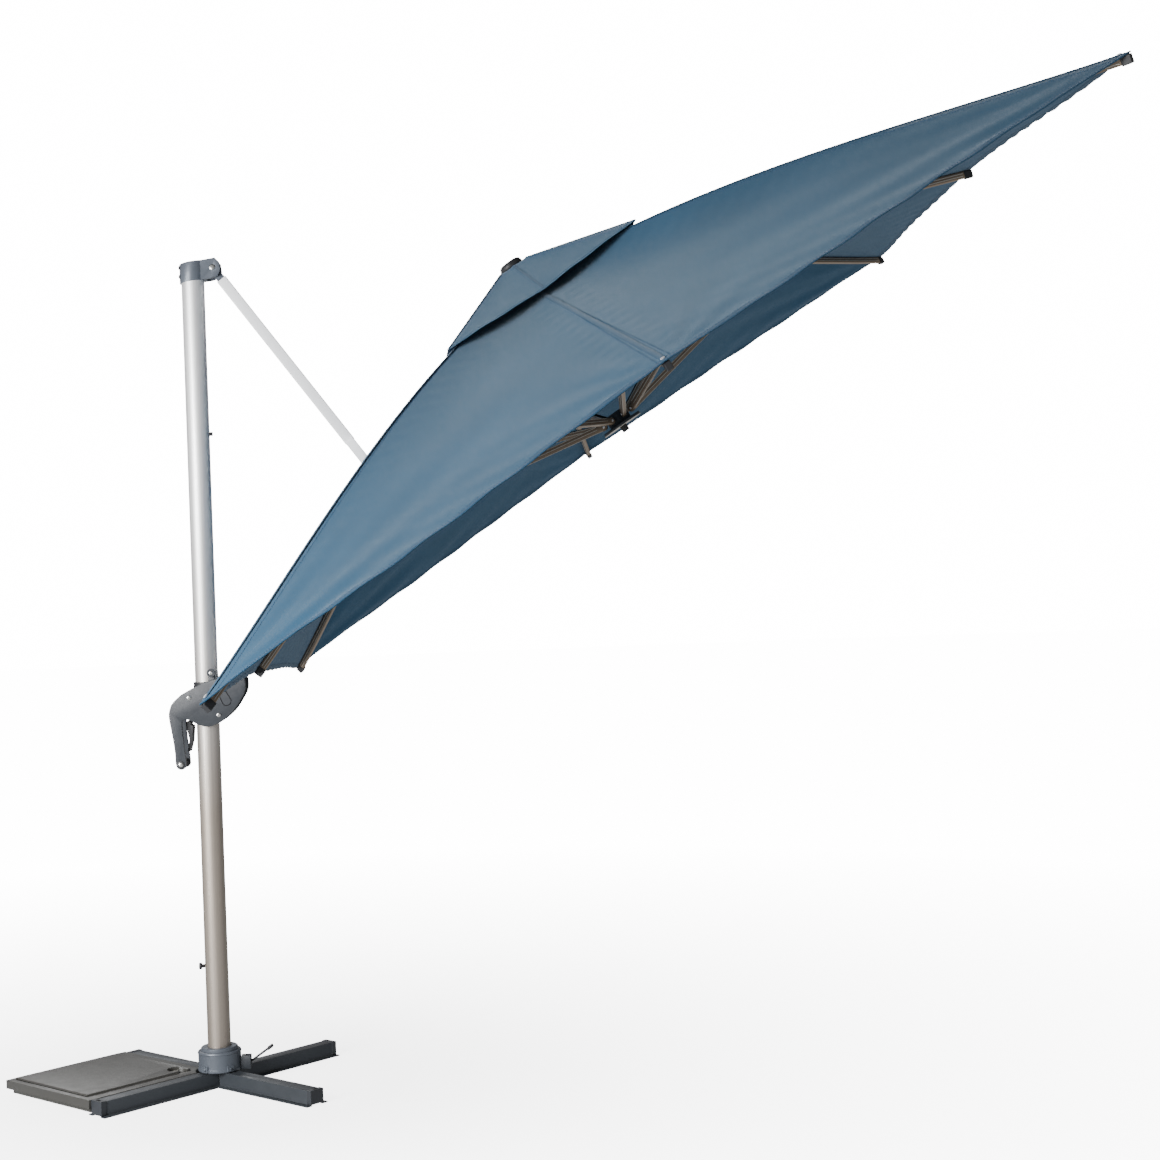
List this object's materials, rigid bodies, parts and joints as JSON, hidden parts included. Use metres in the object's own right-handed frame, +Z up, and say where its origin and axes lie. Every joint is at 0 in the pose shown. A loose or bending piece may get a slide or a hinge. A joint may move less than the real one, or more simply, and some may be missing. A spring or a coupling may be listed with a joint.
{
  "type": "cantilever parasol",
  "caption": "Side-post parasol with a square vented canopy on a boom and strut, a sliding handle, a turning mast and a cross base with a weight slab.",
  "frame": {"origin": "on the ground, on the mast's axis, at the underside of the centre plate", "axes": "+Z up along the mast, +X along the boom towards the canopy, +Y to the left when looking along +X"},
  "size_m": [3.3977, 3, 3.0048],
  "materials": {
    "pale_coat": "satin",
    "anodised": "brushed",
    "anthracite_steel": "satin",
    "anthracite_plastic": "matte",
    "black_plastic": "matte",
    "taupe": "satin",
    "slab_plastic": "matte",
    "concrete": "rough",
    "steel": "brushed",
    "canopy_cloth": "woven",
    "anthracite_casting": "satin"
  },
  "bodies": {
    "base": {"base_arm_1": "anthracite_steel", "base_arm_2": "anthracite_steel", "base_arm_3": "anthracite_steel", "base_arm_4": "anthracite_steel", "centre_plate": "anthracite_steel", "spigot": "steel", "lower_bush": "black_plastic", "upper_bush": "black_plastic", "collar": "anthracite_plastic", "pedal_block": "anthracite_plastic", "slab_shell": "slab_plastic", "slab_fill": "concrete"},
    "pedal": {"pedal_lever": "black_plastic"},
    "mast": {"mast_tube": "anodised", "mast_cap": "anthracite_casting", "strut_pin": "steel", "stop_bolt": "black_plastic", "stow_knob": "black_plastic"},
    "slider": {"handle_plate_right": "anthracite_plastic", "handle_plate_left": "anthracite_plastic", "slide_liner": "black_plastic", "grip_bar": "black_plastic", "boom_pin": "steel", "guide_roller": "black_plastic"},
    "trigger": {"release_trigger": "black_plastic"},
    "strut": {"strut_tube": "pale_coat", "strut_eye": "anthracite_casting", "strut_yoke": "pale_coat"},
    "boom": {"boom_tube": "pale_coat", "boom_foot": "anthracite_casting", "canopy_head": "anthracite_plastic", "vent_canopy": "canopy_cloth", "finial": "black_plastic"},
    "runner": {"runner_hub": "anthracite_plastic", "runner_knob": "black_plastic"},
    "rib_1": {"rib_1": "taupe", "canopy_1": "canopy_cloth"},
    "stretcher_1": {"stretcher_1": "taupe"},
    "rib_2": {"rib_2": "taupe", "canopy_2": "canopy_cloth"},
    "stretcher_2": {"stretcher_2": "taupe"},
    "rib_3": {"rib_3": "taupe", "canopy_3": "canopy_cloth"},
    "stretcher_3": {"stretcher_3": "taupe"},
    "rib_4": {"rib_4": "taupe", "canopy_4": "canopy_cloth"},
    "stretcher_4": {"stretcher_4": "taupe"},
    "rib_5": {"rib_5": "taupe", "canopy_5": "canopy_cloth"},
    "stretcher_5": {"stretcher_5": "taupe"},
    "rib_6": {"rib_6": "taupe", "canopy_6": "canopy_cloth"},
    "stretcher_6": {"stretcher_6": "taupe"},
    "rib_7": {"rib_7": "taupe", "canopy_7": "canopy_cloth"},
    "stretcher_7": {"stretcher_7": "taupe"},
    "rib_8": {"rib_8": "taupe", "canopy_8": "canopy_cloth"},
    "stretcher_8": {"stretcher_8": "taupe"}
  },
  "joints": [
    {"name": "mast_turn", "type": "hinge", "parent": "base", "child": "mast", "pos_m": [0, 0, 0.1], "axis": [0, 0, 1], "continuous": true},
    {"name": "pedal_press", "type": "hinge", "parent": "base", "child": "pedal", "pos_m": [0.096, 0, 0.066], "axis": [0, 1, 0], "range_deg": [0, 20], "stiffness_Nm_per_rad": 1.5, "springref_deg": -17.19},
    {"name": "handle_slide", "type": "slide", "parent": "mast", "child": "slider", "axis": [0, 0, 1], "range_m": [-0.15, 0.8]},
    {"name": "trigger_pull", "type": "hinge", "parent": "slider", "child": "trigger", "pos_m": [-0.062, 0, 1.206], "axis": [0, 1, 0], "range_deg": [0, 8], "stiffness_Nm_per_rad": 1, "springref_deg": -17.19},
    {"name": "boom_pivot", "type": "hinge", "parent": "slider", "child": "boom", "pos_m": [0.086, 0, 1.322], "axis": [0, 1, 0], "range_deg": [-6.97, 35.02]},
    {"name": "strut_pivot", "type": "hinge", "parent": "mast", "child": "strut", "pos_m": [0.069, 0, 2.724], "axis": [0, 1, 0], "range_deg": [-32.81, 6.56]},
    {"name": "canopy_fold", "type": "slide", "parent": "boom", "child": "runner", "axis": [0.5468, 0, -0.8372], "range_m": [0, 1.42]},
    {"name": "rib_1_fold", "type": "hinge", "parent": "boom", "child": "rib_1", "pos_m": [1.17692, 0, 2.65109], "axis": [0, 1, 0], "range_deg": [0, 65.92], "deforming": ["canopy_1"]},
    {"name": "stretcher_1_fold", "type": "hinge", "parent": "runner", "child": "stretcher_1", "pos_m": [1.46127, 0.016, 2.21572], "axis": [0, -1, 0], "range_deg": [0, 75.59]},
    {"name": "rib_2_fold", "type": "hinge", "parent": "boom", "child": "rib_2", "pos_m": [1.1622, 0.04243, 2.64148], "axis": [-0.592, 0.7071, -0.3867], "range_deg": [0, 70.79], "deforming": ["canopy_2"]},
    {"name": "stretcher_2_fold", "type": "hinge", "parent": "runner", "child": "stretcher_2", "pos_m": [1.43708, 0.05374, 2.19992], "axis": [0.592, -0.7071, 0.3867], "range_deg": [0, 65.09]},
    {"name": "rib_3_fold", "type": "hinge", "parent": "boom", "child": "rib_3", "pos_m": [1.12668, 0.06, 2.61828], "axis": [-0.8372, 0, -0.5468], "range_deg": [0, 65.92], "deforming": ["canopy_3"]},
    {"name": "stretcher_3_fold", "type": "hinge", "parent": "runner", "child": "stretcher_3", "pos_m": [1.39764, 0.06, 2.17416], "axis": [0.8372, 0, 0.5468], "range_deg": [0, 75.59]},
    {"name": "rib_4_fold", "type": "hinge", "parent": "boom", "child": "rib_4", "pos_m": [1.09116, 0.04243, 2.59508], "axis": [-0.592, -0.7071, -0.3867], "range_deg": [0, 70.79], "deforming": ["canopy_4"]},
    {"name": "stretcher_4_fold", "type": "hinge", "parent": "runner", "child": "stretcher_4", "pos_m": [1.36604, 0.03111, 2.15352], "axis": [0.592, 0.7071, 0.3867], "range_deg": [0, 65.09]},
    {"name": "rib_5_fold", "type": "hinge", "parent": "boom", "child": "rib_5", "pos_m": [1.07645, 0, 2.58547], "axis": [0, -1, 0], "range_deg": [0, 65.92], "deforming": ["canopy_5"]},
    {"name": "stretcher_5_fold", "type": "hinge", "parent": "runner", "child": "stretcher_5", "pos_m": [1.3608, -0.016, 2.1501], "axis": [0, 1, 0], "range_deg": [0, 75.59]},
    {"name": "rib_6_fold", "type": "hinge", "parent": "boom", "child": "rib_6", "pos_m": [1.09116, -0.04243, 2.59508], "axis": [0.592, -0.7071, 0.3867], "range_deg": [0, 70.79], "deforming": ["canopy_6"]},
    {"name": "stretcher_6_fold", "type": "hinge", "parent": "runner", "child": "stretcher_6", "pos_m": [1.38499, -0.05374, 2.1659], "axis": [-0.592, 0.7071, -0.3867], "range_deg": [0, 65.09]},
    {"name": "rib_7_fold", "type": "hinge", "parent": "boom", "child": "rib_7", "pos_m": [1.12668, -0.06, 2.61828], "axis": [0.8372, 0, 0.5468], "range_deg": [0, 65.92], "deforming": ["canopy_7"]},
    {"name": "stretcher_7_fold", "type": "hinge", "parent": "runner", "child": "stretcher_7", "pos_m": [1.42443, -0.06, 2.19166], "axis": [-0.8372, 0, -0.5468], "range_deg": [0, 75.59]},
    {"name": "rib_8_fold", "type": "hinge", "parent": "boom", "child": "rib_8", "pos_m": [1.1622, -0.04243, 2.64148], "axis": [0.592, 0.7071, 0.3867], "range_deg": [0, 70.79], "deforming": ["canopy_8"]},
    {"name": "stretcher_8_fold", "type": "hinge", "parent": "runner", "child": "stretcher_8", "pos_m": [1.45603, -0.03111, 2.2123], "axis": [-0.592, -0.7071, -0.3867], "range_deg": [0, 65.09]}
  ],
  "couplings": [
    {"joint": "boom_pivot", "follows": "handle_slide", "rad_per_m": 0.7532},
    {"joint": "strut_pivot", "follows": "handle_slide", "rad_per_m": -0.70494},
    {"joint": "rib_1_fold", "follows": "canopy_fold", "rad_per_m": 0.80652},
    {"joint": "stretcher_1_fold", "follows": "canopy_fold", "rad_per_m": 0.92538},
    {"joint": "rib_2_fold", "follows": "canopy_fold", "rad_per_m": 0.86642},
    {"joint": "stretcher_2_fold", "follows": "canopy_fold", "rad_per_m": 0.7963},
    {"joint": "rib_3_fold", "follows": "canopy_fold", "rad_per_m": 0.80652},
    {"joint": "stretcher_3_fold", "follows": "canopy_fold", "rad_per_m": 0.92538},
    {"joint": "rib_4_fold", "follows": "canopy_fold", "rad_per_m": 0.86642},
    {"joint": "stretcher_4_fold", "follows": "canopy_fold", "rad_per_m": 0.7963},
    {"joint": "rib_5_fold", "follows": "canopy_fold", "rad_per_m": 0.80652},
    {"joint": "stretcher_5_fold", "follows": "canopy_fold", "rad_per_m": 0.92538},
    {"joint": "rib_6_fold", "follows": "canopy_fold", "rad_per_m": 0.86642},
    {"joint": "stretcher_6_fold", "follows": "canopy_fold", "rad_per_m": 0.7963},
    {"joint": "rib_7_fold", "follows": "canopy_fold", "rad_per_m": 0.80652},
    {"joint": "stretcher_7_fold", "follows": "canopy_fold", "rad_per_m": 0.92538},
    {"joint": "rib_8_fold", "follows": "canopy_fold", "rad_per_m": 0.86642},
    {"joint": "stretcher_8_fold", "follows": "canopy_fold", "rad_per_m": 0.7963}
  ]
}
